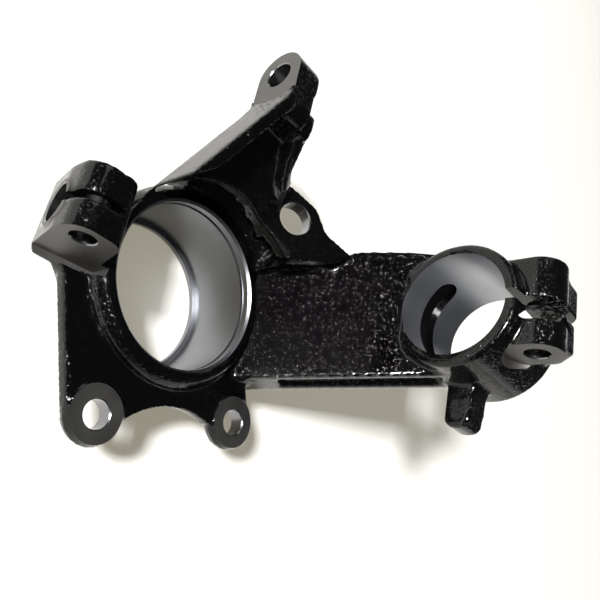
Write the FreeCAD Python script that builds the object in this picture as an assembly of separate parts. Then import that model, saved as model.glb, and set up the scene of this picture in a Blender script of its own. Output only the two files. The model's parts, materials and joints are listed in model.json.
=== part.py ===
"""Steering knuckle: one iron casting, machined at its seats.

Frame, in millimetres: the origin is on the wheel bearing's axis, in the plane of the hub's inboard rim.
X points to the brake caliper, Y up the strut and Z inboard, away from the wheel.
"""
import FreeCAD
import Part
import math
import os

from FreeCAD import Vector

# Bearing seat and hub barrel
bearing_dia = 82.0
bearing_width = 36.0
shoulder_step = 2.6
shoulder_width = 2.5
groove_width = 1.9
groove_depth = 1.8
rim_land = 4.6
rim_chamfer = 1.2
hub_wall = 9.0
collar_wall = 6.5
collar_round = 4.0
collar_break = 1.5
hub_end_wall = 3.0
hub_taper_from = 20.0

# Caliper lugs
caliper_pitch_radius = 75.3
caliper_mid_angle = 15.1
caliper_half_angle = 32.4
caliper_hole_dia = 13.0
caliper_boss_dia = 26.6
caliper_face_z = -7.0
plate_top_z = -8.0
plate_thickness = 7.0
scallop_centre_radius = 105.6
scallop_radius = 47.4

# Ball-joint boss
boss_back_x = -18.5
pinch_face_x = 14.0
boss_end_y = -76.2
boss_top_z = 22.6
boss_draft = 2.6
boss_width = 23.0
boss_root_y = -44.5
boss_base_z = -19.0
stud_bore_dia = 17.6
stud_axis_x = -1.0
stud_axis_z = -2.5
stud_lean = 11.5
stud_bore_depth = 27.0
stud_face_inset = 1.6
pinch_hole_dia = 11.0
pinch_hole_y = -65.6
pinch_hole_z = 12.5
pinch_spot_dia = 18.0
pinch_spot_depth = 0.8
boss_slit_width = 3.6
step_low_z = -17.0
step_high_z = -12.5
leg_side_x = 17.2

# Steering arm
eye_x = -102.4
eye_z = 41.3
eye_face_y = -15.2
eye_hole_dia = 13.6
eye_boss_dia = 27.0
eye_thickness = 16.0
eye_spot_dia = 24.0
flange_face_radius = 46.2
flange_angle = 20.9
flange_start = 9.0
flange_end = 79.0
flange_low_end = 28.0
flange_depth = 28.0
flange_thickness = 6.0
flange_bend = 68.0
flange_slope = 0.518
arm_web_thickness = 8.0
arm_web_rise = 9.7
arm_web_fall = 0.24
collar_clearance = 1.0
apron_radius = 64.0
apron_rise = 17.0
apron_from = 126.0
apron_to = 203.0

# Sensor web
sensor_hole_dia = 18.0
sensor_x = -54.6
sensor_y = 36.3
sensor_z = 23.0
sensor_lean = 20.4
sensor_web_thickness = 8.0
sensor_spot_dia = 25.0
pip_x = -46.6
pip_y = 30.6
pip_z = 5.0
pip_dia = 10.0
pip_height = 12.0

# Strut arm
strut_foot_y = 55.0
strut_foot_z = 5.0
strut_slope = 59.2
strut_depth = 22.0
strut_edge_foot = 27.0
strut_edge_top = 10.0
strut_channel_depth = 4.0
strut_channel_width = 9.0

# Strut clamp
clamp_x = -22.2
clamp_z = 90.5
clamp_start_y = 89.6
clamp_length = 56.4
clamp_bore_dia = 56.0
clamp_wall = 5.8
clamp_rim_chamfer = 1.6
relief_start = 19.4
relief_length = 14.6
relief_depth = 2.4
relief_from = -134.0
relief_to = 146.0
clamp_slit_width = 4.5
clamp_slit_x = -23.75

# Clamp ears
ear_hole_y = 112.0
ear_hole_z = 126.5
ear_lower_end_x = 0.5
ear_upper_end_x = -48.0
ear_column_dia = 25.6
ear_lower_hole_dia = 12.2
ear_upper_hole_dia = 10.2
ear_lug_end_y = 142.0
ear_lug_top_z = 138.5
ear_seat_dia = 32.0
ear_seat_depth = 1.5

# Bracket lug under the clamp
lug_end_x = 34.0
lug_low_z = 79.5
lug_high_z = 92.5
lug_near_y = 114.5
lug_far_y = 131.0

# Reach of a cutter past the metal that it cuts
cut_reach = 80.0

# Worked out from the sizes above
bearing_radius = bearing_dia / 2
bore_low_z = -(rim_land + groove_width + bearing_width)
hub_low_z = bore_low_z - shoulder_width
hub_radius = bearing_radius + hub_wall
collar_radius = bearing_radius + collar_wall
clamp_radius = clamp_bore_dia / 2 + clamp_wall
clamp_end_y = clamp_start_y + clamp_length
caliper_boss_radius = caliper_boss_dia / 2

X_AXIS = Vector(1, 0, 0)
Y_AXIS = Vector(0, 1, 0)
Z_AXIS = Vector(0, 0, 1)


def polar(radius, degrees, z=0.0):
    """Point at a radius and an angle about the bearing axis."""
    turn = math.radians(degrees)
    return Vector(radius * math.cos(turn), radius * math.sin(turn), z)


def outline(corners):
    """Closed wire through (point, radius) corners, with an arc in each corner that has a radius."""
    edges = []
    count = len(corners)
    spans = []
    for index in range(count):
        before = corners[index - 1][0]
        here, radius = corners[index]
        after = corners[(index + 1) % count][0]
        towards_before = (before - here).normalize()
        towards_after = (after - here).normalize()
        half_turn = towards_before.getAngle(towards_after) / 2
        if radius <= 0 or half_turn > math.radians(89):
            spans.append((here, None, here))
            continue
        room = 0.48 * min((before - here).Length, (after - here).Length)
        setback = min(radius / math.tan(half_turn), room)
        radius = setback * math.tan(half_turn)
        middle = (towards_before + towards_after).normalize()
        crown = here + middle * (radius / math.sin(half_turn) - radius)
        spans.append((here + towards_before * setback, crown, here + towards_after * setback))
    for index in range(count):
        start, crown, end = spans[index]
        if crown is not None:
            edges.append(Part.Arc(start, crown, end).toShape())
        following = spans[(index + 1) % count][0]
        edges.append(Part.makeLine(end, following))
    return Part.Wire(edges)


def prism(corners, direction):
    """Solid swept straight from an outline."""
    return Part.Face(outline(corners)).extrude(direction)


def rod(centre, axis, radius, length):
    """Cylinder from a centre point along an axis."""
    return Part.makeCylinder(radius, length, centre, axis)


def hub():
    """Turned blank of the hub barrel, with the collar's rounded edge."""
    collar_step = hub_radius - collar_radius
    corners = [
        (Vector(bearing_radius / 2, 0, hub_low_z), 0),
        (Vector(bearing_radius + hub_end_wall, 0, hub_low_z), 0),
        (Vector(hub_radius, 0, -hub_taper_from), 0),
        (Vector(hub_radius, 0, -collar_step * 2), collar_round),
        (Vector(collar_radius, 0, -collar_break), 0),
        (Vector(collar_radius - collar_break, 0, 0), 0),
        (Vector(bearing_radius / 2, 0, 0), 0),
    ]
    return Part.Face(outline(corners)).revolve(Vector(0, 0, 0), Z_AXIS, 360)


def caliper_centres():
    """Centres of the two caliper holes in the plane of the lug faces."""
    angles = [caliper_mid_angle - caliper_half_angle, caliper_mid_angle + caliper_half_angle]
    return [polar(caliper_pitch_radius, angle, caliper_face_z) for angle in angles]


def caliper_plate():
    """Flange plate between the ball-joint leg and the two caliper lugs, scalloped between them."""
    left, right = caliper_centres()
    low_z = plate_top_z - plate_thickness
    left_side = Vector(0.387, -0.922, 0) * caliper_boss_radius
    right_side = Vector(-0.60, 0.80, 0) * caliper_boss_radius
    points = [
        (Vector(leg_side_x, -45, low_z), 0),
        (Vector(leg_side_x + 2.5, -59, low_z), 3.0),
        (left + left_side, 0),
        (left + Vector(4, 4, 0), 0),
        (right + Vector(2, -4, 0), 0),
        (right + right_side, 0),
        (Vector(30, 60, low_z), 6.0),
        (Vector(-10, 46, low_z), 0),
        (Vector(-30, -30, low_z), 0),
    ]
    corners = [(Vector(point.x, point.y, low_z), radius) for point, radius in points]
    plate = prism(corners, Vector(0, 0, plate_thickness))
    scallop = rod(polar(scallop_centre_radius, caliper_mid_angle, low_z), Z_AXIS, scallop_radius, plate_thickness)
    plate = plate.cut(scallop)
    for centre in caliper_centres():
        foot = Vector(centre.x, centre.y, low_z)
        plate = plate.fuse(rod(foot, Z_AXIS, caliper_boss_radius, plate_thickness))
    return plate.removeSplitter()


def caliper_pads():
    """Raised faces of the two caliper lugs."""
    pads = []
    height = caliper_face_z - plate_top_z + 3.0
    for centre in caliper_centres():
        foot = Vector(centre.x, centre.y, caliper_face_z - height)
        pads.append(Part.makeCone(caliper_boss_radius + 1.0, caliper_boss_radius - 0.6, height, foot, Z_AXIS))
    return pads


def ball_joint_boss():
    """D-shaped boss along X for the ball joint's stud, drafted towards its back."""
    sections = []
    for x, draft in [(boss_back_x, boss_draft), (pinch_face_x, 0.0)]:
        top = boss_top_z - draft
        corners = [
            (Vector(x, boss_end_y + draft / 4, boss_base_z), 0),
            (Vector(x, boss_end_y + draft / 4, top), 10.0),
            (Vector(x, boss_end_y + boss_width, top), 7.0),
            (Vector(x, boss_root_y - draft / 4, -12), 0),
            (Vector(x, boss_root_y + 4, boss_base_z), 0),
        ]
        sections.append(outline(corners))
    return Part.makeLoft(sections, True, True)


def ball_joint_leg():
    """Cast foot that spreads from the ball-joint boss into the hub barrel and the plate."""
    foot_z = boss_base_z
    corners = [
        (Vector(boss_back_x + 1, boss_end_y + 5.5, foot_z), 2.0),
        (Vector(leg_side_x, boss_end_y + 5.5, foot_z), 2.0),
        (Vector(leg_side_x, -60, foot_z), 2.0),
        (Vector(leg_side_x + 12, -50, foot_z), 0),
        (Vector(30, -30, foot_z), 0),
        (Vector(-30, -30, foot_z), 0),
        (Vector(boss_back_x - 1, -50, foot_z), 3.0),
    ]
    return prism(corners, Vector(0, 0, 8))


FLANGE_OUT = Vector(-math.sin(math.radians(flange_angle)), -math.cos(math.radians(flange_angle)), 0)
FLANGE_RUN = Vector(-math.cos(math.radians(flange_angle)), math.sin(math.radians(flange_angle)), 0)


def flange_point(run, z, inset=0.0):
    """Point on the steering arm's flat outer face, or behind it by an inset."""
    return FLANGE_OUT * (flange_face_radius - inset) + FLANGE_RUN * run + Vector(0, 0, z)


def flange_low(run):
    """Height of the flange's low edge, which climbs evenly up to the bend."""
    return flange_low_end + (run - flange_bend) * flange_slope


def steering_flange():
    """Straight outer flange of the steering arm."""
    start = flange_start
    corners = [
        (flange_point(start - 6, flange_low(start) - 6), 0),
        (flange_point(flange_bend, flange_low_end), 20.0),
        (flange_point(flange_end + 6, flange_low_end), 0),
        (flange_point(flange_end + 6, flange_low_end + flange_depth - 1), 0),
        (flange_point(flange_bend, flange_low_end + flange_depth), 6.0),
        (flange_point(start, flange_low(start) + flange_depth), 5.0),
        (flange_point(start - 1, 4), 0),
        (flange_point(start - 6, -6), 0),
    ]
    return prism(corners, FLANGE_OUT * -flange_thickness)


def steering_eye():
    """Round eye of the steering arm, carried on by a block towards the arm."""
    radius = eye_boss_dia / 2
    eye = rod(Vector(eye_x, eye_face_y, eye_z), Y_AXIS, radius, eye_thickness)
    block = [
        (Vector(eye_x, eye_face_y, eye_z - radius), 0),
        (Vector(eye_x + 26, eye_face_y, eye_z - radius), 0),
        (Vector(eye_x + 26, eye_face_y, eye_z + radius), 8.0),
        (Vector(eye_x, eye_face_y, eye_z + radius), 0),
    ]
    pad = [
        (Vector(eye_x + 9, eye_face_y + 8, eye_z - radius + 3), 3.0),
        (Vector(eye_x + 26, eye_face_y + 8, eye_z - radius + 3), 0),
        (Vector(eye_x + 26, eye_face_y + 8, eye_z + radius - 6), 4.0),
        (Vector(eye_x + 12, eye_face_y + 8, eye_z + radius - 4), 4.0),
    ]
    eye = eye.fuse(prism(block, Vector(0, eye_thickness - 1, 0)))
    return eye.fuse(prism(pad, Vector(0, eye_thickness - 1, 0)))


def arm_web_point(run, inset):
    """Point on the top of the steering arm's web, which leans away from the flange."""
    return flange_point(run, flange_low(run) + arm_web_rise - arm_web_fall * inset, inset)


def arm_web():
    """Flat triangular web of the steering arm, between its flange and its rib."""
    corners = [
        (arm_web_point(0, 3), 0),
        (arm_web_point(flange_end, 3), 0),
        (arm_web_point(flange_end + 8, 20), 6.0),
        (arm_web_point(flange_end - 5, 34), 0),
        (arm_web_point(flange_end - 12, 48), 6.0),
        (arm_web_point(flange_end - 32, 58), 0),
        (arm_web_point(10, 60), 0),
        (arm_web_point(0, 40), 0),
    ]
    return prism(corners, Vector(0, 0, -arm_web_thickness))


def arm_rib():
    """Raised rib that edges the steering arm from the eye to the sensor web."""
    stations = [
        (Vector(-97, 6, 49), Vector(-96, -4, 49)),
        (Vector(-81, 10, 46), Vector(-79, 3, 46)),
        (Vector(-70.5, 12.5, 39.5), Vector(-68.5, 7, 39.5)),
        (Vector(-66, 15.5, 34.5), Vector(-61, 12, 34.5)),
        (Vector(-65, 21, 30), Vector(-57, 18, 30)),
        (Vector(-68, 29, 22), Vector(-60, 25, 20)),
    ]
    sections = []
    for outer, inner in stations:
        toe = (inner - outer).normalize() * 3
        drop = Vector(0, 0, -20)
        ring = [outer, inner, inner + toe + drop, outer + drop, outer]
        sections.append(Part.makePolygon(ring))
    return Part.makeLoft(sections, True, True)


def sensor_frame():
    """Normal of the sensor web, which leans back from the bearing axis."""
    lean = math.radians(sensor_lean)
    return Vector(0, -math.sin(lean), math.cos(lean))


def sensor_point(x, y):
    """Point of the sensor web's top face above a place in the plan."""
    return Vector(x, y, sensor_z + (y - sensor_y) * math.tan(math.radians(sensor_lean)))


def sensor_web():
    """Web that holds the speed sensor, between the steering arm and the strut arm."""
    corners = [
        (sensor_point(-73, 27), 6.0),
        (sensor_point(-70.5, 36), 5.0),
        (sensor_point(-66.5, 47), 6.0),
        (sensor_point(-55, 55), 8.0),
        (sensor_point(-49, 72), 0),
        (sensor_point(-41.6, 66.2), 0),
        (sensor_point(-31, 39), 6.0),
        (sensor_point(-34, 28), 0),
        (sensor_point(-48, 10), 0),
    ]
    return prism(corners, sensor_frame() * -sensor_web_thickness)


def cast_pip():
    """Round cast pip beside the sensor hole."""
    foot = Vector(pip_x, pip_y, pip_z - pip_height)
    pip = Part.makeCone(pip_dia / 2 + 1, pip_dia / 2, pip_height, foot, Z_AXIS)
    return pip.fuse(Part.makeSphere(pip_dia / 2, foot + Vector(0, 0, pip_height)))


SLOPE = math.radians(strut_slope)
STRUT_UP = Vector(0, math.cos(SLOPE), math.sin(SLOPE))
STRUT_OUT = Vector(0, -math.sin(SLOPE), math.cos(SLOPE))


def strut_point(x, climb, depth=0.0):
    """Point on the strut arm's near face, at a place across it and up its slope."""
    return Vector(x, strut_foot_y, strut_foot_z) + STRUT_UP * climb - STRUT_OUT * depth


def strut_edge(climb):
    """Place across of the strut arm's caliper-side edge, at a climb up its slope."""
    return strut_edge_foot + (strut_edge_top - strut_edge_foot) * climb / 100


def strut_arm():
    """Sloping arm from the hub to the strut clamp, with a channel down its caliper side."""
    low, high = -34.0, 97.0
    corners = [
        (strut_point(strut_edge(low), low), 0),
        (strut_point(strut_edge(high), high), 0),
        (strut_point(clamp_x - clamp_radius - 2, high), 0),
        (strut_point(clamp_x - clamp_radius, 62), 12.0),
        (strut_point(-53, 38), 14.0),
        (strut_point(-47, 28), 8.0),
        (strut_point(-46, 2), 12.0),
        (strut_point(-26, low), 0),
    ]
    arm = prism(corners, STRUT_OUT * -strut_depth)
    middle = strut_depth / 2
    half = strut_channel_width / 2
    deep = strut_channel_depth
    start, end = 8.0, 92.0
    channel = []
    for climb in [start, end]:
        edge = strut_edge(climb)
        ring = [
            strut_point(edge + 4, climb, middle - half - 4),
            strut_point(edge - deep, climb, middle - half + 1),
            strut_point(edge - deep, climb, middle + half - 1),
            strut_point(edge + 4, climb, middle + half + 4),
        ]
        channel.append(Part.makePolygon(ring + ring[:1]))
    return arm.cut(Part.makeLoft(channel, True, True))


def clamp_barrel():
    """Barrel of the strut clamp, with both cast rims broken."""
    start = Vector(clamp_x, clamp_start_y, clamp_z)
    barrel = rod(start, Y_AXIS, clamp_radius, clamp_length)
    rims = [edge for edge in barrel.Edges if len(edge.Vertexes) == 1]
    return barrel.makeChamfer(clamp_rim_chamfer, rims)


def clamp_ears():
    """Two clamp ears: a round column about the bolt, and a chamfered lug on the far side."""
    pieces = []
    radius = ear_column_dia / 2
    hole = Vector(0, ear_hole_y, ear_hole_z)
    slit_low = clamp_slit_x + clamp_slit_width / 2
    slit_high = clamp_slit_x - clamp_slit_width / 2
    spans = [(slit_low, ear_lower_end_x, 0.0), (slit_high, ear_upper_end_x, 3.0)]
    for start, end, shift in spans:
        length = end - start
        column = rod(hole + Vector(min(start, end), 0, 0), X_AXIS, radius, abs(length))
        neck = [
            (Vector(start, ear_hole_y - radius, clamp_z + 10), 0),
            (Vector(start, ear_hole_y - radius, ear_hole_z), 0),
            (Vector(start, ear_hole_y + radius, ear_hole_z), 0),
            (Vector(start, ear_hole_y + radius, clamp_z + 10), 0),
        ]
        lug = [
            (Vector(start, ear_hole_y, clamp_z + 10), 0),
            (Vector(start, ear_hole_y + shift, ear_lug_top_z), 3.0),
            (Vector(start, ear_lug_end_y - 14 + shift, ear_lug_top_z), 6.0),
            (Vector(start, ear_lug_end_y - 3 + shift, ear_lug_top_z - 10), 6.0),
            (Vector(start, ear_lug_end_y - 3 + shift, clamp_z + 10), 0),
        ]
        pieces.append(column)
        pieces.append(prism(neck, Vector(length, 0, 0)))
        pieces.append(prism(lug, Vector(length * 0.72, 0, 0)))
    return pieces


def bracket_lug():
    """Rounded bracket lug under the strut clamp."""
    corners = [
        (Vector(clamp_x + 20, lug_near_y, lug_low_z), 0),
        (Vector(lug_end_x, lug_near_y, lug_low_z), 5.0),
        (Vector(lug_end_x, lug_near_y, lug_high_z), 6.0),
        (Vector(clamp_x + 20, lug_near_y, lug_high_z + 4), 0),
    ]
    return prism(corners, Vector(0, lug_far_y - lug_near_y, 0))


def hub_apron():
    """Sloping cast wall that climbs from the hub's collar to the webs of the steering side."""
    inner = collar_radius - 2
    corners = [
        (Vector(inner, 0, -20), 0),
        (Vector(hub_radius + 1, 0, -20), 0),
        (Vector(apron_radius, 0, apron_rise - 10), 6.0),
        (Vector(apron_radius, 0, apron_rise), 0),
        (Vector(collar_radius + collar_clearance, 0, 0), 0),
        (Vector(inner, 0, 0), 0),
    ]
    apron = Part.Face(outline(corners)).revolve(Vector(0, 0, 0), Z_AXIS, apron_to - apron_from)
    apron.rotate(Vector(0, 0, 0), Z_AXIS, apron_from)
    return apron


def web_gusset():
    """Wall under the sensor web, down to the strut arm's near face."""
    corners = [
        (sensor_point(-31, 39), 0),
        (sensor_point(-41.6, 66.2), 0),
        (sensor_point(-48, 72), 0),
        (sensor_point(-50, 58), 0),
        (sensor_point(-42, 44), 0),
    ]
    return prism(corners, Vector(0, 0, -36))


def collar_clearance_cut():
    """Space above the hub's collar, which the cast walls round it leave free."""
    radius = collar_radius + collar_clearance
    return Part.makeCylinder(radius, cut_reach, Vector(0, 0, 0), Z_AXIS)


def joined(pieces):
    """One solid from pieces that overlap."""
    body = pieces[0]
    for piece in pieces[1:]:
        body = body.fuse(piece)
    return body


def casting():
    """Rough casting, before machining."""
    body = joined([
        hub(),
        caliper_plate(),
        *caliper_pads(),
        ball_joint_boss(),
        ball_joint_leg(),
        steering_flange(),
        steering_eye(),
        arm_rib(),
        arm_web(),
        hub_apron(),
        sensor_web(),
        web_gusset(),
        cast_pip(),
        strut_arm(),
        clamp_barrel(),
        *clamp_ears(),
        bracket_lug(),
    ])
    return body.cut(collar_clearance_cut())


def hub_bore():
    """Turned inside of the hub: chamfered rim, snap-ring groove, bearing seat and shoulder."""
    seat = bearing_radius
    groove_top = -rim_land
    groove_low = groove_top - groove_width
    corners = [
        Vector(0, 0, cut_reach),
        Vector(seat + rim_chamfer, 0, cut_reach),
        Vector(seat + rim_chamfer, 0, 0),
        Vector(seat, 0, -rim_chamfer),
        Vector(seat, 0, groove_top),
        Vector(seat + groove_depth, 0, groove_top),
        Vector(seat + groove_depth, 0, groove_low),
        Vector(seat, 0, groove_low),
        Vector(seat, 0, bore_low_z),
        Vector(seat - shoulder_step, 0, bore_low_z),
        Vector(seat - shoulder_step, 0, hub_low_z - 5),
        Vector(0, 0, hub_low_z - 5),
    ]
    return Part.Face(Part.makePolygon(corners + corners[:1])).revolve(Vector(0, 0, 0), Z_AXIS, 360)


def caliper_holes():
    """Bolt holes of the two caliper lugs."""
    depth = plate_thickness + 10
    return [rod(centre - Vector(0, 0, depth), Z_AXIS, caliper_hole_dia / 2, depth + 5)
            for centre in caliper_centres()]


def ball_joint_cuts():
    """Stud bore and its face, pinch bolt hole, pinch slit and the milled step beside the pinch face."""
    lean = math.radians(stud_lean)
    inward = Vector(0, math.cos(lean), math.sin(lean))
    mouth = Vector(stud_axis_x, boss_end_y + stud_face_inset, stud_axis_z)
    bore = rod(mouth - inward * 10, inward, stud_bore_dia / 2, stud_bore_depth + 10)
    face = Part.makeBox(60, 10, 80, Vector(-30, -10, -40))
    face.Placement = FreeCAD.Placement(mouth, FreeCAD.Rotation(X_AXIS, stud_lean)).multiply(face.Placement)
    pinch = rod(Vector(boss_back_x - 10, pinch_hole_y, pinch_hole_z), X_AXIS, pinch_hole_dia / 2, cut_reach)
    spot_face = Vector(boss_back_x + pinch_spot_depth, pinch_hole_y, pinch_hole_z)
    spot = rod(spot_face, X_AXIS * -1, pinch_spot_dia / 2, cut_reach / 4)
    slit_high = Vector(stud_axis_x - boss_slit_width / 2, mouth.y - 5, stud_axis_z)
    slit = Part.makeBox(boss_slit_width, 24, boss_top_z - stud_axis_z + 5, slit_high)
    step = [
        (Vector(pinch_face_x, boss_end_y - 4, step_low_z - 1), 0),
        (Vector(pinch_face_x, boss_root_y + 1, step_high_z), 0),
        (Vector(pinch_face_x, boss_root_y + 1, boss_top_z + 5), 0),
        (Vector(pinch_face_x, boss_end_y - 4, boss_top_z + 5), 0),
    ]
    return [bore, face, pinch, spot, slit, prism(step, Vector(leg_side_x - pinch_face_x + 0.5, 0, 0))]


def steering_cuts():
    """Tie-rod hole, and the spot face for its nut at the back."""
    face = Vector(eye_x, eye_face_y, eye_z)
    hole = rod(face - Y_AXIS * (cut_reach / 2), Y_AXIS, eye_hole_dia / 2, cut_reach)
    spot = rod(face + Y_AXIS * eye_thickness, Y_AXIS, eye_spot_dia / 2, cut_reach / 4)
    return [hole, spot]


def sensor_cuts():
    """Sensor hole, square to its web, and the relief behind it."""
    normal = sensor_frame()
    centre = Vector(sensor_x, sensor_y, sensor_z)
    hole = rod(centre - normal * (cut_reach / 2), normal, sensor_hole_dia / 2, cut_reach)
    back = rod(centre - normal * sensor_web_thickness, normal * -1, sensor_spot_dia / 2, cut_reach / 2)
    return [hole, back]


def clamp_cuts():
    """Clamp bore with its relief, the slit through it, the bolt holes and the bolt seat."""
    radius = clamp_bore_dia / 2
    start = Vector(clamp_x, clamp_start_y, clamp_z)
    bore = rod(start - Y_AXIS * (cut_reach / 2), Y_AXIS, radius, clamp_length + cut_reach)
    relief_radius = radius + relief_depth
    sweep = 360 - (relief_to - relief_from)
    relief = Part.makeCylinder(relief_radius, relief_length, start + Y_AXIS * relief_start, Y_AXIS, sweep)
    relief.rotate(start, Y_AXIS, relief_to)
    middle = start + Y_AXIS * (relief_start + relief_length / 2)
    for turn in [relief_from, relief_to]:
        outward = Vector(math.sin(math.radians(turn)), 0, math.cos(math.radians(turn)))
        relief = relief.fuse(rod(middle, outward, relief_length / 2, relief_radius))
    slit_low = Vector(clamp_slit_x - clamp_slit_width / 2, clamp_start_y - 10, clamp_z)
    slit = Part.makeBox(clamp_slit_width, clamp_length + 20, ear_lug_top_z - clamp_z + 10, slit_low)
    hole = Vector(clamp_slit_x, ear_hole_y, ear_hole_z)
    lower = rod(hole, X_AXIS, ear_lower_hole_dia / 2, cut_reach)
    upper = rod(hole, -X_AXIS, ear_upper_hole_dia / 2, cut_reach)
    seat_foot = Vector(ear_lower_end_x - ear_seat_depth, ear_hole_y, ear_hole_z)
    seat = rod(seat_foot, X_AXIS, ear_seat_dia / 2, ear_column_dia / 2)
    return [bore, relief, slit, lower, upper, seat]


def main():
    body = casting()
    cuts = [hub_bore(), *caliper_holes(), *ball_joint_cuts(), *steering_cuts(), *sensor_cuts(), *clamp_cuts()]
    for cutter in cuts:
        body = body.cut(cutter)
    print("solids", len(body.Solids), "valid", body.isValid(), "volume", round(body.Volume))
    os.makedirs("parts", exist_ok=True)
    body.Solids[0].exportStep("parts/knuckle_casting.step")


main()
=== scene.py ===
"""Looks of a cast steering knuckle: gloss black casting, bare machined seats, pale studio floor."""
import json
import math

import bmesh
import bpy
import numpy as np
from mathutils import Matrix, Vector, noise


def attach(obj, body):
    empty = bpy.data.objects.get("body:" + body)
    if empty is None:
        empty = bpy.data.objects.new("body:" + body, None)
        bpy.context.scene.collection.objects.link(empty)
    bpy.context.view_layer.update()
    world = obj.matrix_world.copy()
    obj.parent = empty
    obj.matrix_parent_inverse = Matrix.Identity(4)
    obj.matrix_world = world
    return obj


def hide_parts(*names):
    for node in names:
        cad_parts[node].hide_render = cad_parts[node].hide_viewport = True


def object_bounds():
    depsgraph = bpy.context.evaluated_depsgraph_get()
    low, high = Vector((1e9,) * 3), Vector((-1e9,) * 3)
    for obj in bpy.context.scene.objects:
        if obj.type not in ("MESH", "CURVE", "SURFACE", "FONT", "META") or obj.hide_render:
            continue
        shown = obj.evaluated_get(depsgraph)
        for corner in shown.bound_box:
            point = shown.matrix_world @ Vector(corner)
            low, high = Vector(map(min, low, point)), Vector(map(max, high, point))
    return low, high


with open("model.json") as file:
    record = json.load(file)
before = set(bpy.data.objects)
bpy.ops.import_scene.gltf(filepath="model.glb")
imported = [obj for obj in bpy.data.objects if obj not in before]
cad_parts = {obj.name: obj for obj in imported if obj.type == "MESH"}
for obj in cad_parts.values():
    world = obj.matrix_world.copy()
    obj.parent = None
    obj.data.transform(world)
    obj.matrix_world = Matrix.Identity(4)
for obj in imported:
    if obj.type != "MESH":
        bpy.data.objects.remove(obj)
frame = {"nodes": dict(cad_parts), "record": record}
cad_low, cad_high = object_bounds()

# Black paint
# The whole casting was dipped in gloss black paint before it was machined. It lies over a sand-cast
# skin, so it is full of fine bumps that catch the lamps as sparks.
paint_colour = (0.0009, 0.0009, 0.0010, 1)
paint_grain_scale = 700.0
paint_swell_scale = 260.0


def new_material(name, colour, roughness, metallic):
    """Material with its shader's plain values set, and the tree to add its detail to."""
    material = bpy.data.materials.new(name)
    material.use_nodes = True
    shader = material.node_tree.nodes["Principled BSDF"]
    shader.inputs["Base Color"].default_value = colour
    shader.inputs["Roughness"].default_value = roughness
    shader.inputs["Metallic"].default_value = metallic
    return material, material.node_tree, shader


def add_node(tree, kind, **inputs):
    """Node of a kind, with the inputs that its keywords name set to a value."""
    node = tree.nodes.new(kind)
    for name, value in inputs.items():
        node.inputs[name.replace("_", " ")].default_value = value
    return node


def place_on(tree, stretch):
    """Object coordinates, stretched along X, Y and Z."""
    where = tree.nodes.new("ShaderNodeTexCoord")
    mapping = add_node(tree, "ShaderNodeMapping", Scale=stretch)
    tree.links.new(where.outputs["Object"], mapping.inputs["Vector"])
    return mapping.outputs["Vector"]


def spread(tree, value, low, high):
    """Maps a pattern's middle range on to the span from low to high."""
    ramp = add_node(tree, "ShaderNodeMapRange")
    ramp.inputs["From Min"].default_value = 0.3
    ramp.inputs["From Max"].default_value = 0.7
    ramp.inputs["To Min"].default_value = low
    ramp.inputs["To Max"].default_value = high
    tree.links.new(value, ramp.inputs["Value"])
    return ramp.outputs["Result"]


def add_bump(tree, height, distance, strength, under=None):
    """Bump from a height pattern, on top of another bump."""
    bump = add_node(tree, "ShaderNodeBump", Distance=distance, Strength=strength)
    tree.links.new(height, bump.inputs["Height"])
    if under is not None:
        tree.links.new(under, bump.inputs["Normal"])
    return bump.outputs["Normal"]


black_paint, tree, shader = new_material("gloss_black_paint", paint_colour, 0.2, 0.0)
shader.inputs["Specular IOR Level"].default_value = 0.06
shader.inputs["Coat Weight"].default_value = 0.5
shader.inputs["Coat Roughness"].default_value = 0.05
where = place_on(tree, (1, 1, 1))
grain = add_node(tree, "ShaderNodeTexNoise", Scale=paint_grain_scale, Detail=2.0, Roughness=0.6)
swell = add_node(tree, "ShaderNodeTexNoise", Scale=paint_swell_scale, Detail=1.0)
dull = add_node(tree, "ShaderNodeTexNoise", Scale=40.0, Detail=3.0)
for pattern in (grain, swell, dull):
    tree.links.new(where, pattern.inputs["Vector"])
swelled = add_bump(tree, swell.outputs["Fac"], 0.0002, 0.15)
beads = add_node(tree, "ShaderNodeMapRange")
beads.inputs["From Min"].default_value = 0.56
beads.inputs["From Max"].default_value = 0.76
tree.links.new(grain.outputs["Fac"], beads.inputs["Value"])
grained = add_bump(tree, beads.outputs["Result"], 0.00015, 1.0, swelled)
tree.links.new(grained, shader.inputs["Normal"])
tree.links.new(grained, shader.inputs["Coat Normal"])
tree.links.new(spread(tree, dull.outputs["Fac"], 0.12, 0.22), shader.inputs["Roughness"])

# Bare machined iron
# Where a part seats, the tool took the paint and the skin off. Turned seats carry fine rings, milled
# faces fine arcs, and drilled walls are the brightest.
seat_steel, tree, shader = new_material("turned_seat", (0.235, 0.24, 0.255, 1), 0.34, 1.0)
shader.inputs["Anisotropic"].default_value = 0.5
where = place_on(tree, (12, 12, 2600))
rings = add_node(tree, "ShaderNodeTexNoise", Scale=1.0, Detail=2.0)
cloud = add_node(tree, "ShaderNodeTexNoise", Scale=22.0, Detail=3.0)
tree.links.new(where, rings.inputs["Vector"])
tree.links.new(place_on(tree, (1, 1, 1)), cloud.inputs["Vector"])
tree.links.new(add_bump(tree, rings.outputs["Fac"], 0.00006, 0.5), shader.inputs["Normal"])
tree.links.new(spread(tree, cloud.outputs["Fac"], 0.28, 0.42), shader.inputs["Roughness"])

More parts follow.
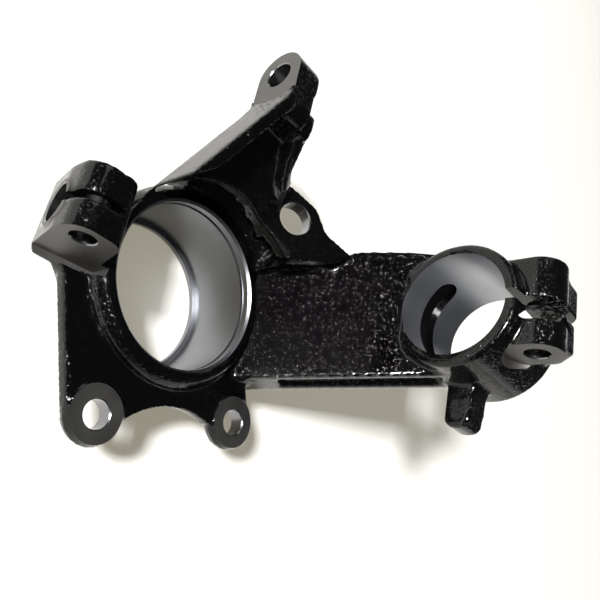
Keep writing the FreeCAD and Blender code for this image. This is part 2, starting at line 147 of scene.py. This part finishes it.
milled_iron, tree, shader = new_material("milled_face", (0.125, 0.122, 0.118, 1), 0.5, 1.0)
where = place_on(tree, (1, 1, 1))
marks = add_node(tree, "ShaderNodeTexNoise", Scale=900.0, Detail=2.0)
cloud = add_node(tree, "ShaderNodeTexNoise", Scale=60.0, Detail=3.0)
for pattern in (marks, cloud):
    tree.links.new(where, pattern.inputs["Vector"])
tree.links.new(add_bump(tree, marks.outputs["Fac"], 0.00008, 0.6), shader.inputs["Normal"])
tree.links.new(spread(tree, cloud.outputs["Fac"], 0.48, 0.6), shader.inputs["Roughness"])

drilled_iron, tree, shader = new_material("drilled_wall", (0.22, 0.22, 0.23, 1), 0.24, 1.0)
where = place_on(tree, (1, 1, 1))
marks = add_node(tree, "ShaderNodeTexNoise", Scale=700.0, Detail=2.0)
tree.links.new(where, marks.inputs["Vector"])
tree.links.new(add_bump(tree, marks.outputs["Fac"], 0.0001, 0.5), shader.inputs["Normal"])

clamp_iron, tree, shader = new_material("bored_clamp", (0.38, 0.39, 0.42, 1), 0.44, 1.0)
where = place_on(tree, (10, 2400, 10))
rings = add_node(tree, "ShaderNodeTexNoise", Scale=1.0, Detail=2.0)
cloud = add_node(tree, "ShaderNodeTexNoise", Scale=30.0, Detail=3.0)
tree.links.new(where, rings.inputs["Vector"])
tree.links.new(place_on(tree, (1, 1, 1)), cloud.inputs["Vector"])
tree.links.new(add_bump(tree, rings.outputs["Fac"], 0.00006, 0.5), shader.inputs["Normal"])
tree.links.new(spread(tree, cloud.outputs["Fac"], 0.32, 0.46), shader.inputs["Roughness"])

finishes = [black_paint, seat_steel, milled_iron, drilled_iron, clamp_iron]
PAINT, SEAT, MILLED, DRILLED, CLAMP = range(len(finishes))

# The rough casting
# One iron casting as it leaves the sand: its bores are still solid, its faces carry stock for the
# cutter, and every corner is rounded by the mould.
stock = 0.002
plug_wall = 0.0007
hub_fill_wall = 0.0026
clamp_fill_wall = 0.0034
skin_voxel = 0.0011
flat_gap = 0.00002
soften_rounds = 10
outer_share = 0.2
skin_depth = 0.00005

mounts = {mount["name"]: mount for mount in frame["record"]["mounts"]}


def seat_of(name):
    """A mount's place, axis, radius and length."""
    mount = mounts[name]
    radius = mount["dims"].get("r_mm", 0.0) / 1000
    length = mount["dims"].get("length_mm", 0.0) / 1000
    return Vector(mount["pos_m"]), Vector(mount["axis"]).normalized(), radius, length


def turn_to(axis, place):
    """Matrix that stands a shape made along Z on an axis at a place."""
    return Matrix.Translation(place) @ axis.to_track_quat("Z", "Y").to_matrix().to_4x4()


def add_turned(shape, profile, axis, place, finish=PAINT, steps=128):
    """Adds a closed turned shape from (radius, height) points that begin and end on its axis."""
    matrix = turn_to(axis, place)
    rings = []
    for radius, height in profile:
        if radius == 0:
            rings.append([shape.verts.new(matrix @ Vector((0, 0, height)))])
            continue
        turns = [2 * math.pi * step / steps for step in range(steps)]
        rings.append([shape.verts.new(matrix @ Vector((radius * math.cos(a), radius * math.sin(a), height)))
                      for a in turns])
    for low, high in zip(rings, rings[1:]):
        for step in range(steps):
            after = (step + 1) % steps
            corners = [low[step % len(low)], low[after % len(low)],
                       high[after % len(high)], high[step % len(high)]]
            face = shape.faces.new(list(dict.fromkeys(corners)))
            face.material_index = finish


def add_plug(shape, name, more=0.0, radius=None):
    """Fills a mount's bore, as it is before it is drilled."""
    place, axis, bore, length = seat_of(name)
    radius = radius or bore + plug_wall
    low, high = -length / 2, length / 2 + more
    add_turned(shape, [(0, low), (radius, low), (radius, high), (0, high)], axis, place)


def add_stock(shape, place, normal, reach):
    """Thickens the flat face through a point by the cutter's allowance."""
    faces = [face for face in shape.faces
             if face.normal.dot(normal) > 0.999
             and abs((face.calc_center_median() - place).dot(normal)) < flat_gap
             and (face.calc_center_median() - place).length < reach]
    made = bmesh.ops.extrude_face_region(shape, geom=faces)
    corners = [item for item in made["geom"] if isinstance(item, bmesh.types.BMVert)]
    bmesh.ops.translate(shape, vec=normal * stock, verts=corners)
    left = [face for face in faces if face.is_valid]
    bmesh.ops.delete(shape, geom=left, context="FACES")


X, Y, Z = Vector((1, 0, 0)), Vector((0, 1, 0)), Vector((0, 0, 1))
_, _, hub_radius, _ = seat_of("hub_bore")
stud_place, stud_axis, _, stud_length = seat_of("ball_joint_stud")
stud_face = stud_place + stud_axis * (stud_length / 2)
pinch_place = seat_of("pinch_bolt")[0]
pinch_face_x = 0.014
pinch_face = Vector((pinch_face_x, pinch_place.y, pinch_place.z))
eye_place, eye_axis, _, eye_length = seat_of("tie_rod_eye")
eye_face = eye_place + eye_axis * (eye_length / 2)
ear_place, ear_axis, _, ear_length = seat_of("clamp_bolt_lower")
ear_face = ear_place + ear_axis * (ear_length / 2)
clamp_place, clamp_axis, clamp_radius, clamp_length = seat_of("strut_clamp")
caliper_face_z = seat_of("caliper_face")[0].z
caliper_names = ["caliper_bolt_lower", "caliper_bolt_upper"]
caliper_faces = [Vector((*seat_of(name)[0].xy, caliper_face_z)) for name in caliper_names]

rough = bmesh.new()
rough.from_mesh(frame["nodes"]["knuckle_casting"].data)
bmesh.ops.remove_doubles(rough, verts=rough.verts, dist=0.000002)
rough.normal_update()
for place, normal, reach in [
    (stud_face, stud_axis, 0.04),
    (pinch_face, X, 0.03),
    (eye_face, eye_axis, 0.03),
    (ear_face, X, 0.03),
    *[(place, Z, 0.02) for place in caliper_faces],
]:
    add_stock(rough, place, normal, reach)
hub_low = cad_low.z
hub_fill = hub_radius + hub_fill_wall
add_turned(rough, [(0, hub_low), (hub_fill, hub_low), (hub_fill, 0), (0, 0)], Z, Vector((0, 0, 0)))
add_plug(rough, "strut_clamp", radius=clamp_radius + clamp_fill_wall)
add_plug(rough, "ball_joint_stud", more=stock)
add_plug(rough, "pinch_bolt", more=stock)
add_plug(rough, "tie_rod_eye", more=stock)
add_plug(rough, "sensor_hole")
add_plug(rough, "clamp_bolt_lower", more=stock)
add_plug(rough, "clamp_bolt_upper")
for name in caliper_names:
    add_plug(rough, name, more=stock)
blank = bpy.data.meshes.new("rough_casting")
rough.to_mesh(blank)
rough.free()

knuckle = bpy.data.objects.new("steering_knuckle", blank)
bpy.context.scene.collection.objects.link(knuckle)


def settle(piece):
    """Turns a piece's modifiers into its plain mesh."""
    graph = bpy.context.evaluated_depsgraph_get()
    made = bpy.data.meshes.new_from_object(piece.evaluated_get(graph))
    piece.modifiers.clear()
    piece.data = made


skin = knuckle.modifiers.new("skin", "REMESH")
skin.mode = "VOXEL"
skin.voxel_size = skin_voxel
settle(knuckle)


def soften(mesh, rounds, outer_share):
    """Rounds a mesh's corners: hollow ones fill with a fillet, and outer ones wear less."""
    count = len(mesh.vertices)
    points = np.empty(count * 3)
    mesh.vertices.foreach_get("co", points)
    points = points.reshape(-1, 3)
    ends = np.empty(len(mesh.edges) * 2, dtype=np.int64)
    mesh.edges.foreach_get("vertices", ends)
    first, second = ends.reshape(-1, 2).T
    many = np.bincount(first, minlength=count) + np.bincount(second, minlength=count)
    for _ in range(rounds):
        mesh.vertices.foreach_set("co", points.ravel())
        mesh.update()
        normals = np.empty(count * 3)
        mesh.vertex_normals.foreach_get("vector", normals)
        normals = normals.reshape(-1, 3)
        total = np.empty_like(points)
        for axis in range(3):
            total[:, axis] = np.bincount(first, points[second, axis], count)
            total[:, axis] += np.bincount(second, points[first, axis], count)
        shift = total / many[:, None] - points
        rise = np.einsum("ij,ij->i", shift, normals)
        share = np.where(rise > 0, 1.0, outer_share)
        points += 0.5 * (shift + (share - 1)[:, None] * rise[:, None] * normals)
    mesh.vertices.foreach_set("co", points.ravel())
    mesh.update()


def roughen(mesh, depth):
    """Gives a mesh the low waves of a sand-cast skin."""
    points = [vertex.co.copy() for vertex in mesh.vertices]
    normals = [entry.vector.copy() for entry in mesh.vertex_normals]
    for index, point in enumerate(points):
        wave = noise.noise(point * 170) + 0.5 * noise.noise(point * 420)
        points[index] = point + normals[index] * (wave * depth)
    mesh.vertices.foreach_set("co", np.array(points).ravel())
    mesh.update()


soften(knuckle.data, soften_rounds, outer_share)
roughen(knuckle.data, skin_depth)
for finish in finishes:
    knuckle.data.materials.append(finish)

# Machined seats
# Every seat is cut at its exact size after painting: the bearing seat with its groove and shoulder is
# turned, the faces are milled, and the bolt holes are drilled with a broken edge.
hole_break = 0.0005
cutter_reach = 0.012


def cut_away(shape):
    """Cuts a shape out of the casting. The new walls keep the shape's finish."""
    shape.normal_update()
    bmesh.ops.recalc_face_normals(shape, faces=shape.faces)
    mesh = bpy.data.meshes.new("cutter")
    shape.to_mesh(mesh)
    shape.free()
    for finish in finishes:
        mesh.materials.append(finish)
    cutter = bpy.data.objects.new("cutter", mesh)
    bpy.context.scene.collection.objects.link(cutter)
    cut = knuckle.modifiers.new("cut", "BOOLEAN")
    cut.operation = "DIFFERENCE"
    cut.solver = "MANIFOLD"
    cut.object = cutter
    settle(knuckle)
    bpy.data.objects.remove(cutter)


def cut_turned(profile, axis, place, finish):
    """Cuts one turned shape out of the casting."""
    shape = bmesh.new()
    add_turned(shape, profile, axis, place, finish, steps=160)
    cut_away(shape)


def face_off(place, axis, radius, finish=MILLED):
    """Faces a seat flat out to a radius."""
    cut_turned([(0, 0), (radius, 0), (radius, cutter_reach), (0, cutter_reach)], axis, place, finish)


def drill(name, mouth, depth, finish=DRILLED):
    """Drills a mount's hole from its mouth and breaks the edge."""
    _, axis, radius, _ = seat_of(name)
    wide = radius + hole_break + cutter_reach
    profile = [(0, -depth), (radius, -depth), (radius, -hole_break), (wide, cutter_reach), (0, cutter_reach)]
    cut_turned(profile, axis, mouth, finish)


caliper_face_radius, boss_face_radius, eye_face_radius, ear_face_radius = 0.0165, 0.045, 0.0186, 0.016
for place in caliper_faces:
    face_off(place, Z, caliper_face_radius)
face_off(stud_face, stud_axis, boss_face_radius)
face_off(Vector((stud_face.x, cad_low.y, stud_face.z)), -Y, boss_face_radius)
face_off(eye_face, eye_axis, eye_face_radius)
face_off(ear_face, X, ear_face_radius)

step_side_x = 0.0177
step_outline = [(-0.0802, -0.018), (-0.0435, -0.0125), (-0.0435, 0.0276), (-0.0802, 0.0276)]
shape = bmesh.new()
rows = [[shape.verts.new((x, y, z)) for y, z in step_outline] for x in (pinch_face_x, step_side_x)]
shape.faces.new(rows[0])
shape.faces.new(rows[1])
for index in range(len(step_outline)):
    after = (index + 1) % len(step_outline)
    shape.faces.new([rows[0][index], rows[0][after], rows[1][after], rows[1][index]])
for face in shape.faces:
    face.material_index = MILLED
cut_away(shape)

for name, mouth in zip(caliper_names, caliper_faces):
    drill(name, mouth, 0.03)
drill("pinch_bolt", pinch_face, 0.05)
drill("tie_rod_eye", eye_face, 0.03)
drill("clamp_bolt_lower", ear_face, 0.03)
upper_place, upper_axis, _, upper_length = seat_of("clamp_bolt_upper")
drill("clamp_bolt_upper", upper_place + upper_axis * (upper_length / 2), 0.04)
sensor_place, sensor_axis, _, sensor_length = seat_of("sensor_hole")
drill("sensor_hole", sensor_place + sensor_axis * (sensor_length / 2), 0.02)
drill("ball_joint_stud", stud_face, stud_length)

reach = clamp_length / 2 + cutter_reach
bore = [(0, -reach), (clamp_radius, -reach), (clamp_radius, reach), (0, reach)]
cut_turned(bore, clamp_axis, clamp_place, CLAMP)

relief_start, relief_length, relief_depth = 0.0194, 0.0146, 0.0024
relief_from, relief_to, relief_steps = math.radians(146), math.radians(226), 64
relief_end = relief_length / 2
relief_y = clamp_place.y - clamp_length / 2 + relief_start + relief_end
relief_overlap = 0.002
relief_inside, relief_outside = clamp_radius - relief_overlap, clamp_radius + relief_depth
relief_middle = Vector((clamp_place.x, relief_y, clamp_place.z))
tip = relief_end / clamp_radius
shape = bmesh.new()
slices = []
for step in range(relief_steps + 1):
    share = (1 - math.cos(math.pi * step / relief_steps)) / 2
    turn = relief_from - tip + share * (relief_to - relief_from + 2 * tip)
    past = max(relief_from - turn, turn - relief_to, 0) * clamp_radius
    half = max(math.sqrt(max(relief_end ** 2 - past ** 2, 0)), 0.0002)
    out = Vector((math.sin(turn), 0, math.cos(turn)))
    slices.append([
        shape.verts.new(relief_middle + out * radius + Y * side)
        for radius, side in [(relief_inside, -half), (relief_inside, half),
                             (relief_outside, half), (relief_outside, -half)]])
for low, high in zip(slices, slices[1:]):
    for corner in range(4):
        after = (corner + 1) % 4
        shape.faces.new([low[corner], low[after], high[after], high[corner]])
shape.faces.new(slices[0])
shape.faces.new(slices[-1])
cut_away(shape)



def saw(low, high):
    """Clears a slit that the mould left rough. Its walls are painted."""
    shape = bmesh.new()
    bmesh.ops.create_cube(shape, size=1, matrix=Matrix.LocRotScale((low + high) / 2, None, high - low))
    cut_away(shape)


boss_slit_width, boss_slit_run, boss_slit_rise = 0.0042, 0.024, 0.06
clamp_slit_width, clamp_slit_x = 0.0053, -0.02375
slit_y = stud_face.y - 0.005
saw(Vector((stud_place.x - boss_slit_width / 2, slit_y, stud_face.z)),
    Vector((stud_place.x + boss_slit_width / 2, slit_y + boss_slit_run, stud_face.z + boss_slit_rise)))
saw(Vector((clamp_slit_x - clamp_slit_width / 2, clamp_place.y - reach, clamp_place.z)),
    Vector((clamp_slit_x + clamp_slit_width / 2, clamp_place.y + reach, cad_high.z + cutter_reach)))

rim_land, groove_width, groove_depth, rim_chamfer = 0.0046, 0.0019, 0.0018, 0.0012
shoulder_z, shoulder_step = -0.0425, 0.0026
cut_turned([
    (0, cutter_reach),
    (hub_radius + rim_chamfer, cutter_reach),
    (hub_radius + rim_chamfer, 0),
    (hub_radius, -rim_chamfer),
    (hub_radius, -rim_land),
    (hub_radius + groove_depth, -rim_land),
    (hub_radius + groove_depth, -rim_land - groove_width),
    (hub_radius, -rim_land - groove_width),
    (hub_radius, shoulder_z),
    (hub_radius - shoulder_step, shoulder_z),
    (hub_radius - shoulder_step, hub_low - cutter_reach),
    (0, hub_low - cutter_reach),
], Z, Vector((0, 0, 0)), SEAT)

knuckle.data.shade_smooth()
knuckle.data.set_sharp_from_angle(angle=math.radians(32))
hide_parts("knuckle_casting")
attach(knuckle, "root")

# Studio floor
# The knuckle lies on a plain white table, its outboard side down. Gloss and glass see the same white
# as the camera, and the shadow keeps a warm grey of its own.
floor_drop = 0.0002
floor_half = 4.0
floor_mesh = bpy.data.meshes.new("floor")
floor_z = cad_low.z - floor_drop
floor_mesh.from_pydata(
    [(x, y, floor_z) for x, y in [(-1, -1), (1, -1), (1, 1), (-1, 1)]], [], [(0, 1, 2, 3)])
for vertex in floor_mesh.vertices:
    vertex.co.xy *= floor_half
floor = bpy.data.objects.new("floor", floor_mesh)
bpy.context.scene.collection.objects.link(floor)



def either(tree, first, second):
    """One where either of two masks is one."""
    larger = add_node(tree, "ShaderNodeMath")
    larger.operation = "MAXIMUM"
    tree.links.new(first, larger.inputs[0])
    tree.links.new(second, larger.inputs[1])
    return larger.outputs["Value"]


def seen_rays(tree):
    """One for the rays of the camera, of gloss and of glass."""
    rays = tree.nodes.new("ShaderNodeLightPath")
    sharp = either(tree, rays.outputs["Is Camera Ray"], rays.outputs["Is Glossy Ray"])
    return either(tree, sharp, rays.outputs["Is Transmission Ray"])


white_floor, tree, shader = new_material("white_floor", (0.42, 0.415, 0.4, 1), 0.9, 0.0)
seen_floor = add_node(tree, "ShaderNodeBsdfDiffuse", Color=(0.60, 0.60, 0.60, 1))
glow = add_node(tree, "ShaderNodeEmission", Color=(0.28, 0.26, 0.20, 1), Strength=1.0)
both = tree.nodes.new("ShaderNodeAddShader")
pick = tree.nodes.new("ShaderNodeMixShader")
tree.links.new(seen_floor.outputs["BSDF"], both.inputs[0])
tree.links.new(glow.outputs["Emission"], both.inputs[1])
tree.links.new(seen_rays(tree), pick.inputs["Fac"])
tree.links.new(shader.outputs["BSDF"], pick.inputs[1])
tree.links.new(both.outputs["Shader"], pick.inputs[2])
tree.links.new(pick.outputs["Shader"], tree.nodes["Material Output"].inputs["Surface"])
floor_mesh.materials.append(white_floor)

# Studio lamps and backdrop
# One small key lamp far to the side makes the paint's sparks, and a weak wide fill stands across from
# it. The room is dark but for a white sweep just over the horizon.
world = bpy.data.worlds.new("room")
world.use_nodes = True
bpy.context.scene.world = world
tree = world.node_tree
room = tree.nodes["Background"]
room.inputs["Color"].default_value = (0.10, 0.105, 0.115, 1)
room.inputs["Strength"].default_value = 0.6
backdrop = add_node(tree, "ShaderNodeBackground", Color=(1, 1, 1, 1), Strength=1.0)
where = tree.nodes.new("ShaderNodeTexCoord")
height = tree.nodes.new("ShaderNodeSeparateXYZ")
sweep = tree.nodes.new("ShaderNodeMapRange")
sweep.inputs["From Min"].default_value = 0.02
sweep.inputs["From Max"].default_value = 0.12
sweep.inputs["To Min"].default_value = 1.0
sweep.inputs["To Max"].default_value = 0.0
low_sweep = add_node(tree, "ShaderNodeMath")
low_sweep.operation = "MULTIPLY"
tree.links.new(where.outputs["Generated"], height.inputs["Vector"])
tree.links.new(height.outputs["Z"], sweep.inputs["Value"])
tree.links.new(sweep.outputs["Result"], low_sweep.inputs[0])
tree.links.new(seen_rays(tree), low_sweep.inputs[1])
pick = tree.nodes.new("ShaderNodeMixShader")
tree.links.new(low_sweep.outputs["Value"], pick.inputs["Fac"])
tree.links.new(room.outputs["Background"], pick.inputs[1])
tree.links.new(backdrop.outputs["Background"], pick.inputs[2])
tree.links.new(pick.outputs["Shader"], tree.nodes["World Output"].inputs["Surface"])

middle = (cad_low + cad_high) / 2


def add_lamp(name, direction, distance, size, power, colour):
    """Square lamp that faces the middle of the knuckle."""
    light = bpy.data.lights.new(name, "AREA")
    light.size = size
    light.energy = power
    light.color = colour
    lamp = bpy.data.objects.new(name, light)
    lamp.location = middle + Vector(direction).normalized() * distance
    lamp.rotation_mode = "QUATERNION"
    lamp.rotation_quaternion = (middle - lamp.location).to_track_quat("-Z", "Y")
    bpy.context.scene.collection.objects.link(lamp)


add_lamp("key", (0.10, -0.80, 0.62), 4.0, 0.5, 450, (1, 0.99, 0.97))
add_lamp("fill", (-0.75, -0.25, 0.60), 1.8, 0.7, 3, (0.95, 0.97, 1))

# Camera
# It looks down on the knuckle from the caliper side, rolled so that the strut arm lies level.
camera_data = bpy.data.cameras.new("camera")
camera_data.lens = 39.6
camera_data.sensor_width = 36.0
camera = bpy.data.objects.new("camera", camera_data)
camera.location = (0.12331, -0.17737, 0.23941)
aim = Vector((-0.01652, 0.05655, 0.01979))
camera_roll = math.radians(81.7)
camera.rotation_mode = "QUATERNION"
level = (aim - camera.location).to_track_quat("-Z", "Y")
camera.rotation_quaternion = level @ Matrix.Rotation(camera_roll, 3, "Z").to_quaternion()
bpy.context.scene.collection.objects.link(camera)
bpy.context.scene.camera = camera
bpy.context.scene.view_settings.view_transform = "Standard"
